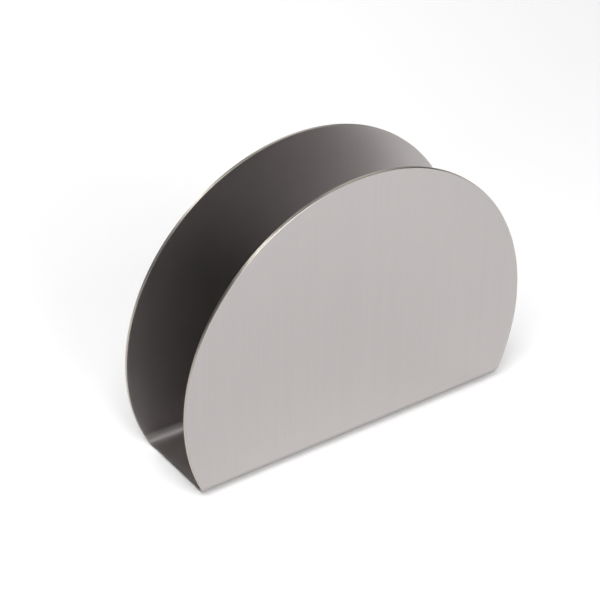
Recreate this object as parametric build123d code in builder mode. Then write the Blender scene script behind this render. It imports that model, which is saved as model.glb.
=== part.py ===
"""Half-moon napkin holder, open at the top and at both ends.

One blank of brushed stainless sheet is folded into a U: two round cheeks stand on a flat
strip, and the napkins stand between them. Four stick-on pads keep the sheet off the table.

Millimetres, +Z up. X runs along the holder, Y from the front cheek to the rear one. The
origin is on the table, under the middle of the holder.
"""

import os
from math import sqrt

from build123d import *

# Driving dimensions
holder_width = 150.0  # across the round cheeks, which are half of this in radius
holder_depth = 40.0  # over the outside of both cheeks
holder_height = 110.6  # table to the top of the cheeks
sheet_thickness = 1.2
inner_bend_radius = 4.0

pad_diameter = 10.0
pad_thickness = 1.0
pad_edge_round = 0.3
pad_bend_gap = 1.0  # rim of a pad to the line where the bend starts
pad_end_gap = 6.0  # rim of a pad to the end of the strip

# Worked out from them
cheek_radius = holder_width / 2
half_depth = holder_depth / 2
outer_bend_radius = inner_bend_radius + sheet_thickness
sheet_underside = pad_thickness
strip_top = sheet_underside + sheet_thickness
bend_top = sheet_underside + outer_bend_radius
cheek_centre_height = holder_height - cheek_radius


def round_edge_reach(height):
    """Half the width that the cheeks' circle has at a height above the table."""
    return sqrt(cheek_radius**2 - (height - cheek_centre_height) ** 2)


# The strip is as long as the chord that the circle would have at the strip's underside
strip_half_length = round_edge_reach(sheet_underside)

# The folded body: the U of the sheet, as wide as the cheeks, cut to the outline of the blank
with BuildPart() as folded_body:
    with BuildSketch(Plane.YZ):
        with BuildLine():
            FilletPolyline(
                (-half_depth, holder_height),
                (-half_depth, sheet_underside),
                (half_depth, sheet_underside),
                (half_depth, holder_height),
                radius=outer_bend_radius,
            )
            offset(amount=sheet_thickness, side=Side.LEFT)
        make_face()
    extrude(amount=cheek_radius, both=True)

    # Seen from the front, the outline leaves the circle where the bend starts and curves in
    # under the cheek to the square end of the strip
    with BuildSketch(Plane.XZ):
        with BuildLine():
            crown = (0, holder_height)
            bend_start = (round_edge_reach(bend_top), bend_top)
            round_edge = RadiusArc(crown, bend_start, cheek_radius)
            under_turn = TangentArc(
                bend_start,
                (strip_half_length, strip_top),
                tangent=round_edge % 1,
            )
            Polyline(under_turn @ 1, (strip_half_length, sheet_underside), (0, sheet_underside))
            mirror(about=Plane.YZ)
        make_face()
    extrude(amount=half_depth, both=True, mode=Mode.INTERSECT)

folded_body.part.label = "folded_body"
os.makedirs("parts", exist_ok=True)
export_step(folded_body.part, "parts/folded_body.step")

# The anti-slip pads: rubber discs stuck under the flat of the strip, one near each corner
pad_x = strip_half_length - pad_end_gap - pad_diameter / 2
pad_y = half_depth - outer_bend_radius - pad_bend_gap - pad_diameter / 2
for row, y in (("front", -pad_y), ("rear", pad_y)):
    for end, x in (("left", -pad_x), ("right", pad_x)):
        with BuildPart() as pad:
            with BuildSketch(Plane((x, y, 0))):
                Circle(pad_diameter / 2)
            extrude(amount=pad_thickness)
            fillet(pad.edges().group_by(Axis.Z)[0], radius=pad_edge_round)
        pad.part.label = f"pad_{row}_{end}"
        export_step(pad.part, f"parts/{pad.part.label}.step")
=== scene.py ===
"""Half-moon napkin holder: one brushed stainless sheet folded into a U, on four rubber pads.

Everything is in metres, in the frame's own axes: X along the holder, Y from the front cheek
to the rear one, Z up, with the table at zero.
"""

import bmesh
import bpy
import numpy as np
from mathutils import Matrix, Vector


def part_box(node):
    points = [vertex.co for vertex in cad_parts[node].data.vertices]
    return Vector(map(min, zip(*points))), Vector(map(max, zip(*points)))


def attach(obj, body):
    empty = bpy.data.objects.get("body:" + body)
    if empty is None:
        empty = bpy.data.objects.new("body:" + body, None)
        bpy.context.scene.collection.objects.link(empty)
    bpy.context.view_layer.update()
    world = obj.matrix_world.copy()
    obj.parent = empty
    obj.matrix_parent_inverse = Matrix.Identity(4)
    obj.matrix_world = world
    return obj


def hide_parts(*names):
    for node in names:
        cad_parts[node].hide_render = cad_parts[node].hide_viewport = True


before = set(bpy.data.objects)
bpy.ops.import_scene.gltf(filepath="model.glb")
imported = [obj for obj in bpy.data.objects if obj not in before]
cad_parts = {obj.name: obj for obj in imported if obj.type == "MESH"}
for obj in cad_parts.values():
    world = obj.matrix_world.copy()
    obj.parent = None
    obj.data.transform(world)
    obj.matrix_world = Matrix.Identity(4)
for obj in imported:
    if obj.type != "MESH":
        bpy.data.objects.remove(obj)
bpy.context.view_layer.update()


# ---------------------------------------------------------------- the folded body
# One blank of 1.2 mm stainless sheet, two discs joined by a strip, brushed flat and then bent
# twice round a 4 mm nose. Tumbling rolls its cut edge, most on the outside of the fold.

MM = 0.001
SHEET = 1.2 * MM
INNER_BEND = 4.0 * MM
NEUTRAL = 0.45  # the layer that keeps its length in a bend, as a share of the sheet from inside
WAIST = 20.0 * MM  # inside corner of the blank, where a disc meets the strip
OUTSIDE_ROLL = 0.24 * MM
INSIDE_ROLL = 0.12 * MM
EDGE_BAND = 0.6 * MM  # how far the mesh's edge band reaches into the faces

body_low, body_high = (np.array(corner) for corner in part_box("folded_body"))
DISC = (body_high[0] - body_low[0]) / 2
HALF_DEPTH = (body_high[1] - body_low[1]) / 2
UNDERSIDE = body_low[2]
OUTER_BEND = INNER_BEND + SHEET
BEND_TOP = UNDERSIDE + OUTER_BEND
BEND_LENGTH = (INNER_BEND + NEUTRAL * SHEET) * np.pi / 2
STRIP_FLAT = HALF_DEPTH - OUTER_BEND
DISC_HEIGHT = body_high[2] - DISC
DISC_ALONG = STRIP_FLAT + BEND_LENGTH + DISC_HEIGHT - BEND_TOP
STRIP_HALF = np.sqrt(DISC**2 - (DISC_HEIGHT - UNDERSIDE) ** 2)


def blank_outline(disc_steps=150, low_steps=16, waist_steps=7, side_steps=22):
    """Half of the blank's outline, from the crown of one disc to the middle of the strip.

    Returns points (across, along), with along measured from the middle of the strip, and the
    outward normals. It is an arc of the disc, with closer steps below the start of the bend,
    then an arc whose centre lies outside the blank and which touches both the disc and the
    strip's side, then that straight side.
    """
    waist_across = STRIP_HALF + WAIST
    waist_below = np.sqrt((DISC + WAIST) ** 2 - waist_across**2)
    touch = np.arctan2(waist_below, waist_across)
    bend_starts = np.arcsin((DISC_HEIGHT - BEND_TOP) / DISC)
    turn = np.concatenate([
        np.linspace(np.pi / 2, -bend_starts, disc_steps, endpoint=False),
        np.linspace(-bend_starts, -touch, low_steps),
    ])
    arc_normal = np.stack([np.cos(turn), np.sin(turn)], axis=1)
    arc = arc_normal * DISC + [0, DISC_ALONG]
    corner = np.linspace(np.pi - touch, np.pi, waist_steps)[1:]
    corner_normal = -np.stack([np.cos(corner), np.sin(corner)], axis=1)
    waist = [waist_across, DISC_ALONG - waist_below] - corner_normal * WAIST
    side_along = np.linspace(waist[-1, 1], 0, side_steps)[1:]
    side = np.stack([np.full_like(side_along, STRIP_HALF), side_along], axis=1)
    side_normal = np.tile([1.0, 0.0], (len(side), 1))
    return (np.concatenate([arc, waist, side]),
            np.concatenate([arc_normal, corner_normal, side_normal]))


def edge_profile(roll_steps=6):
    """The sheet's edge in section: (depth in from the outline, height off the middle plane).

    A quarter round on the outside, the flat of the cut, and a tighter quarter round on the
    inside, with one more point on each face where the edge band ends.
    """
    turn = np.linspace(0, np.pi / 2, roll_steps)
    sine, rise = np.sin(turn), 1 - np.cos(turn)
    half = SHEET / 2
    outside = np.stack([OUTSIDE_ROLL * (1 - sine), half - OUTSIDE_ROLL * rise], axis=1)
    inside = np.stack([INSIDE_ROLL * rise, INSIDE_ROLL * (1 - sine) - half], axis=1)
    return np.concatenate([[[EDGE_BAND, half]], outside, inside, [[EDGE_BAND, -half]]])


def fold(across, along, off):
    """Folds points of the flat blank up into the U.

    Along runs from the middle of the strip: flat to the start of the bend, then round the bend
    at the angle that its share of the bend's length gives, then straight up the cheek. Off is
    the height off the sheet's middle plane, positive towards the outside of the fold.
    """
    run = np.abs(along)
    angle = np.clip((run - STRIP_FLAT) / BEND_LENGTH, 0, 1) * np.pi / 2
    radius = INNER_BEND + SHEET / 2 + off
    climb = np.maximum(run - STRIP_FLAT - BEND_LENGTH, 0)
    y = np.sign(along) * (np.minimum(run, STRIP_FLAT) + radius * np.sin(angle))
    z = BEND_TOP - radius * np.cos(angle) + climb
    return np.stack([across, y, z], axis=-1)


def grid_faces(steps, around):
    """Quads of a grid of points whose rows are closed loops: each point to the next in its loop,
    and each loop to the next."""
    step, turn = np.meshgrid(np.arange(steps - 1), np.arange(around), indexing="ij")
    following = (turn + 1) % around
    return np.stack([step * around + turn, step * around + following,
                     (step + 1) * around + following, (step + 1) * around + turn], axis=-1)


def mesh_object(name, points, faces):
    """A smooth-shaded mesh object from arrays of points and faces."""
    mesh = bpy.data.meshes.new(name)
    mesh.from_pydata(points.reshape(-1, 3), [], faces.reshape(-1, faces.shape[-1]))
    mesh.polygons.foreach_set("use_smooth", np.ones(len(mesh.polygons), dtype=bool))
    piece = bpy.data.objects.new(name, mesh)
    bpy.context.scene.collection.objects.link(piece)
    return piece


def close_skin(mesh):
    """Merges the points that lie on each other, which closes seams and poles, and turns all
    faces outwards."""
    work = bmesh.new()
    work.from_mesh(mesh)
    same_place = 1e-7
    bmesh.ops.remove_doubles(work, verts=work.verts, dist=same_place)
    bmesh.ops.recalc_face_normals(work, faces=work.faces)
    work.to_mesh(mesh)
    work.free()


def point_values(mesh, name, values):
    """Stores a number at each point of a mesh, for its material to read."""
    stored = mesh.attributes.new(name, "FLOAT", "POINT")
    stored.data.foreach_set("value", values.astype(np.float32).ravel())


def folded_sheet(columns=48):
    """The closed skin of the folded sheet.

    A loop runs round the sheet at each step of the outline: across the outside face, over the
    right-hand edge, back across the inside face and over the left-hand edge. The loops shrink
    to a line at each crown, which closes the skin there. The UV map is the flat blank.
    """
    outline, normal = blank_outline()
    outline = np.concatenate([outline, outline[-2::-1] * [1, -1]])
    normal = np.concatenate([normal, normal[-2::-1] * [1, -1]])
    depth, height = edge_profile().T
    edge = outline[:, None] - normal[:, None] * depth[:, None]
    across, along = edge[..., 0], edge[..., 1]
    face_across = across[:, :1] * -np.cos(np.linspace(0, np.pi, columns + 2)[1:-1])
    face_along = np.repeat(along[:, :1], columns, axis=1)
    face_off = np.full(columns, SHEET / 2)
    loop_across = np.concatenate([face_across, across, -face_across, -across[:, ::-1]], axis=1)
    loop_along = np.concatenate([face_along, along, face_along, along[:, ::-1]], axis=1)
    loop_off = np.concatenate([face_off, height, -face_off, height[::-1]])

    steps, around = loop_across.shape
    piece = mesh_object("folded_sheet", fold(loop_across, loop_along, loop_off),
                        grid_faces(steps, around))
    mesh = piece.data

    # The second material goes on the two stretches of each loop that run over an edge, but for
    # their first and last faces, which are the flat edge bands.
    on_edge = np.zeros(around, dtype=np.int32)
    for first in (columns, 2 * columns + len(depth)):
        on_edge[first + 1:first + len(depth) - 2] = 1
    mesh.polygons.foreach_set("material_index", np.tile(on_edge, steps - 1))

    inside_patch = 1.0  # the inside face reads its grain from a patch of its own
    uv = np.stack([loop_across, loop_along + inside_patch * (loop_off < 0)], axis=-1)
    corners = np.empty(len(mesh.loops), dtype=np.int32)
    mesh.loops.foreach_get("vertex_index", corners)
    layer = mesh.uv_layers.new(name="blank")
    layer.data.foreach_set("uv", uv.reshape(-1, 2)[corners].ravel())

    # The press rubs the grain duller through each bend, and each bend's colour is darkened as
    # painted shade, most in the middle of it, as sin(pi s)^2 where s runs from 0 to 1 through the
    # bend, and less outside than under its nose.
    outside_share = 0.5
    into_bend = np.clip((np.abs(loop_along) - STRIP_FLAT) / BEND_LENGTH, 0, 1)
    rub_and_painted_shade = np.sin(np.pi * into_bend) ** 2 * np.where(loop_off < 0, 1, outside_share)
    point_values(mesh, "press_rub_and_shade", rub_and_painted_shade)

    # Only the rims of the discs come out of the tumbler smooth. The ends of the strip stay
    # duller, and their edge is painted dark as painted shade for the shadowed table close by,
    # fading out through the bend.
    point_values(mesh, "dull_shaded_end", 1 - into_bend)
    close_skin(mesh)

    # Brushed metal spreads its gloss across the grain, which is along X all over this sheet.
    # The shader turns its gloss about the Z axis of the texture space, so that axis is set far
    # off to one side.
    far_aside = 10
    mesh.use_auto_texspace = False
    mesh.texspace_location = (0, -far_aside, 0)
    mesh.texspace_size = (1, 1, 1)
    return piece


class Wire:
    """A socket of a node tree. Arithmetic on wires adds Math nodes, and add() any other node.

    The wire that a tree starts from has no socket.
    """

    def __init__(self, tree, socket=None):
        self.tree = tree
        self.socket = socket

    def add(self, kind, settings=None, inputs=None, out=0):
        """Adds a node: its settings first, then the values or wires of its sockets. Returns the
        wire of its output of that name or number."""
        made = self.tree.nodes.new(kind)
        for key, value in (settings or {}).items():
            setattr(made, key, value)
        for key, value in (inputs or {}).items():
            if isinstance(value, Wire):
                self.tree.links.new(value.socket, made.inputs[key])
            else:
                made.inputs[key].default_value = value
        return Wire(self.tree, made.outputs[out] if made.outputs else None)

    def __add__(self, other):
        return self.add("ShaderNodeMath", {"operation": "ADD"}, {0: self, 1: other})

    def __mul__(self, other):
        return self.add("ShaderNodeMath", {"operation": "MULTIPLY"}, {0: self, 1: other})

    __radd__ = __add__
    __rmul__ = __mul__


def new_material(name):
    """An empty material, and the wire that its tree starts from."""
    material = bpy.data.materials.new(name)
    material.use_nodes = True
    material.node_tree.nodes.clear()
    return material, Wire(material.node_tree)


def close_material(start, sockets):
    """Ends a tree in one Principled shader with those sockets set."""
    shader = start.add("ShaderNodeBsdfPrincipled", {}, sockets)
    start.add("ShaderNodeOutputMaterial", {}, {"Surface": shader})


def between(factor, first, second):
    """A colour that goes from the first to the second as the factor goes from 0 to 1."""
    colour_result = 2
    return factor.add("ShaderNodeMix", {"data_type": "RGBA"},
                      {"Factor": factor, "A": first, "B": second}, out=colour_result)


def stored_value(start, name):
    """The number that point_values() stored under that name."""
    return start.add("ShaderNodeAttribute", {"attribute_name": name}, out="Fac")


def strokes(place, across, along, start_at):
    """Noise drawn out along the grain, so that one brush stroke is that many metres by that many.

    It reads its noise from another place for each start_at, and is about 0.5 on average.
    """
    drawn = place.add("ShaderNodeMapping", {}, {
        "Vector": place,
        "Location": (start_at, start_at, 0),
        "Scale": (1 / across, 1 / along, 1),
    })
    return drawn.add("ShaderNodeTexNoise", {"noise_dimensions": "2D"},
                     {"Vector": drawn, "Scale": 1.0, "Detail": 3.0, "Roughness": 0.6})


def brushed_stainless():
    """Satin stainless sheet: hair-fine strokes, longer and broader ones, wide faint bands where
    the belt pressed harder, and painted shade darkening the bends."""
    material, start = new_material("brushed_stainless")
    place = start.add("ShaderNodeUVMap", {"uv_map": "blank"})
    hair = strokes(place, across=0.16 * MM, along=22 * MM, start_at=0.0)
    stroke = strokes(place, across=0.7 * MM, along=70 * MM, start_at=5.3)
    band = strokes(place, across=7 * MM, along=260 * MM, start_at=9.1)
    press_rub_and_shade = stored_value(start, "press_rub_and_shade")
    grain = hair * 0.35 + stroke * 0.35 + band * 0.3
    dark_stroke = (0.428, 0.406, 0.401, 1)
    light_stroke = (0.508, 0.482, 0.476, 1)
    # Painted shade: each bend's colour is drawn towards this dark tone.
    rub_and_painted_shade = (0.25, 0.235, 0.23, 1)
    relief = hair * 0.7 + stroke * 0.3
    bump = start.add("ShaderNodeBump", {},
                     {"Strength": 0.2, "Distance": 0.02 * MM, "Height": relief})
    close_material(start, {
        "Base Color": between(press_rub_and_shade, between(grain, dark_stroke, light_stroke), rub_and_painted_shade),
        "Metallic": 1.0,
        "Roughness": 0.25 + grain * 0.1 + press_rub_and_shade * 0.4,
        "Anisotropic": 0.75,
        "Normal": bump,
    })
    return material


def cut_edge():
    """The cut edge of the sheet: tumbled smooth round the discs. At the strip's ends it is duller
    and painted near black, a painted shade for the shadowed table close by, fading out through
    the bend."""
    material, start = new_material("cut_edge")
    place = start.add("ShaderNodeTexCoord", out="Object")
    marks_per_metre = 900.0
    marks = start.add("ShaderNodeTexNoise", {},
                      {"Vector": place, "Scale": marks_per_metre, "Detail": 2.0})
    dull_shaded_end = stored_value(start, "dull_shaded_end")
    tumbled_metal = (0.42, 0.385, 0.345, 1)
    # Painted shade: the strip's ends near the table are painted this near-black.
    painted_end_shade = (0.12, 0.11, 0.115, 1)
    close_material(start, {
        "Base Color": between(dull_shaded_end, tumbled_metal, painted_end_shade),
        "Metallic": 1.0,
        "Roughness": 0.25 + marks * 0.15 + dull_shaded_end * 0.25,
    })
    return material


sheet = folded_sheet()
sheet.data.materials.append(brushed_stainless())
sheet.data.materials.append(cut_edge())
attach(sheet, "root")
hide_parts("folded_body")


# ---------------------------------------------------------------- the anti-slip pads
# Moulded black rubber discs, stuck under the strip near its corners. Shallow rings in the
# underside keep them from sliding on a wet table.

PAD_RIM = 0.3 * MM
RING_DEPTH = 0.25 * MM
RING_WIDTH = 0.35 * MM
RING_RADII = (1.5 * MM, 2.7 * MM, 3.9 * MM)


def turned_pad(name, low, high, face_steps=60, rim_steps=8, segments=72):
    """A disc turned about its own upright axis.

    Its section runs from the middle of the underside out over the rings, each a bell-shaped dip
    exp(-((r - ring) / width)^2), round the lower rim, up the side and back in to the middle.
    """
    centre, outer, top = (low + high) / 2, (high[0] - low[0]) / 2, high[2] - low[2]
    flat = np.linspace(0, outer - PAD_RIM, face_steps)
    rings = sum(np.exp(-(((flat - ring) / RING_WIDTH) ** 2)) for ring in RING_RADII)
    turn = np.linspace(0, np.pi / 2, rim_steps)[1:]
    radius = np.concatenate([flat, outer - PAD_RIM * (1 - np.sin(turn)), [outer, 0]])
    height = np.concatenate([RING_DEPTH * rings, PAD_RIM * (1 - np.cos(turn)), [top, top]])
    around = np.linspace(0, 2 * np.pi, segments, endpoint=False)
    points = np.stack([
        centre[0] + radius[:, None] * np.cos(around),
        centre[1] + radius[:, None] * np.sin(around),
        np.repeat(low[2] + height[:, None], segments, axis=1),
    ], axis=-1)
    piece = mesh_object(name, points, grid_faces(len(radius), segments))
    close_skin(piece.data)
    return piece


def pad_rubber():
    """Matt black rubber with a fine moulded grain."""
    material, start = new_material("pad_rubber")
    place = start.add("ShaderNodeTexCoord", out="Object")
    grains_per_metre = 2500.0
    grain = start.add("ShaderNodeTexNoise", {},
                      {"Vector": place, "Scale": grains_per_metre, "Detail": 3.0})
    bump = start.add("ShaderNodeBump", {},
                     {"Strength": 0.4, "Distance": 0.05 * MM, "Height": grain})
    close_material(start, {
        "Base Color": (0.025, 0.025, 0.027, 1),
        "Roughness": 0.6 + grain * 0.2,
        "Normal": bump,
    })
    return material


rubber = pad_rubber()
for row in ("front", "rear"):
    for end in ("left", "right"):
        pad_node = f"pad_{row}_{end}"
        pad_low, pad_high = (np.array(corner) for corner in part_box(pad_node))
        pad = turned_pad(f"grip_{row}_{end}", pad_low, pad_high)
        pad.data.materials.append(rubber)
        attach(pad, "root")
        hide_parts(pad_node)


# ---------------------------------------------------------------- floor, light and camera
# A plain pale table top under rectangular softboxes in a dim room, seen through a long lens
# from above the holder's left-hand end.

LAMP_DISTANCE = 1.4
LAMP_AIM = Vector((0, 0, 0.04))


def soft_lamp(name, azimuth, elevation, size, power):
    """A rectangular softbox that faces the holder. Azimuth 0 is in front and 90 at the
    right-hand end, and elevation is above the table, both in degrees. Power is in watts."""
    turn, rise = np.radians(azimuth), np.radians(elevation)
    away = Vector((np.sin(turn) * np.cos(rise), -np.cos(turn) * np.cos(rise), np.sin(rise)))
    lamp = bpy.data.lights.new(name, "AREA")
    lamp.shape = "RECTANGLE"
    lamp.size, lamp.size_y = size
    lamp.energy = power
    softbox = bpy.data.objects.new(name, lamp)
    softbox.location = LAMP_AIM + away * LAMP_DISTANCE
    softbox.rotation_euler = away.to_track_quat("Z", "Y").to_euler()
    bpy.context.scene.collection.objects.link(softbox)


FLOOR_HALF = 4.0
floor_corners = FLOOR_HALF * np.array([[-1, -1, 0], [1, -1, 0], [1, 1, 0], [-1, 1, 0]])
floor = mesh_object("floor", floor_corners, np.array([[0, 1, 2, 3]]))
floor_material, floor_start = new_material("pale_floor")
close_material(floor_start, {"Base Color": (0.92, 0.92, 0.92, 1), "Roughness": 0.9})
floor.data.materials.append(floor_material)

soft_lamp("low_front_lamp", 0, 15, (0.9, 0.45), 7.3)
soft_lamp("front_lamp", 0, 35, (0.9, 0.7), 6.3)
soft_lamp("left_lamp", 312, 57, (0.9, 0.7), 15.1)
soft_lamp("low_left_lamp", 300, 10, (0.4, 0.3), 4)
soft_lamp("rear_lamp", 178, 15, (0.9, 0.45), 11)
soft_lamp("rear_left_lamp", 208, 40, (0.3, 0.3), 1.5)
soft_lamp("rear_right_lamp", 140, 35, (0.9, 0.7), 2.2)

ROOM_LIGHT = 0.10
world = bpy.data.worlds.new("studio")
world.use_nodes = True
room = world.node_tree.nodes["Background"]
room.inputs["Color"].default_value = (1, 1, 1, 1)
room.inputs["Strength"].default_value = ROOM_LIGHT
bpy.context.scene.world = world
bpy.context.scene.view_settings.view_transform = "Standard"

# The camera leans a little, and stands a little to the left of a view of the holder's middle.
CAMERA_AZIMUTH, CAMERA_ELEVATION, CAMERA_ROLL = np.radians([-36.16, 32.41, 1.35])
CAMERA_DISTANCE = 0.6988
CAMERA_LENS, CAMERA_SENSOR = 115.0, 36.0  # millimetres, as on the lens
AIM_HEIGHT = 0.0535
SIDESTEP, RISE = -0.0105, -0.0031

back = Vector((
    np.sin(CAMERA_AZIMUTH) * np.cos(CAMERA_ELEVATION),
    -np.cos(CAMERA_AZIMUTH) * np.cos(CAMERA_ELEVATION),
    np.sin(CAMERA_ELEVATION),
))
level = Vector((0, 0, 1)).cross(back).normalized()
upright = back.cross(level)
right = level * np.cos(CAMERA_ROLL) + upright * np.sin(CAMERA_ROLL)
up = upright * np.cos(CAMERA_ROLL) - level * np.sin(CAMERA_ROLL)
stand = Vector((0, 0, AIM_HEIGHT)) + back * CAMERA_DISTANCE + right * SIDESTEP + up * RISE

lens = bpy.data.cameras.new("camera")
lens.lens = CAMERA_LENS
lens.sensor_width = CAMERA_SENSOR
camera = bpy.data.objects.new("camera", lens)
camera.matrix_world = Matrix.Translation(stand) @ Matrix((right, up, back)).transposed().to_4x4()
bpy.context.scene.collection.objects.link(camera)
bpy.context.scene.camera = camera
